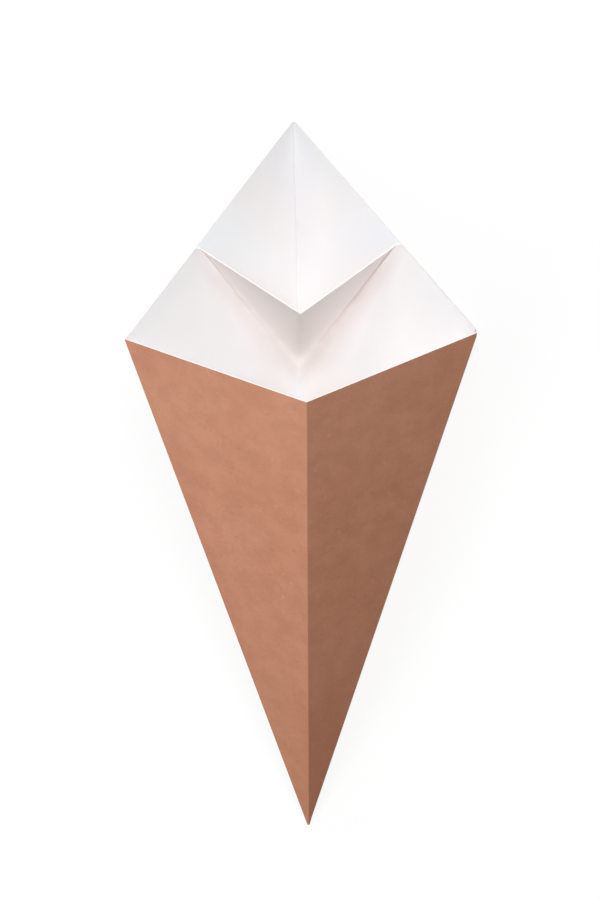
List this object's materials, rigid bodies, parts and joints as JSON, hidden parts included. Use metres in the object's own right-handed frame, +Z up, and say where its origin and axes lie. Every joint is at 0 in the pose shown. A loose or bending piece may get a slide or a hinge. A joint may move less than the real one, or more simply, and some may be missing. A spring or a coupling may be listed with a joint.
{
  "type": "paper fry cone",
  "caption": "Cone folded from one sheet of board, brown outside and white inside, with a pointed back and a V-shaped sauce pocket popped out of the back.",
  "frame": {"origin": "centre of the cone's footprint, on the surface that it lies on", "axes": "+Z up, square to the right back panel that it lies on; +Y along the back crease, from the tip to the peak; +X towards the right side fold"},
  "size_m": [0.0952, 0.2476, 0.0736],
  "materials": {
    "kraft_lined_board": "matte brown outside, matte white inside"
  },
  "bodies": {
    "root": {"folded_cone": "kraft_lined_board"}
  },
  "joints": []
}
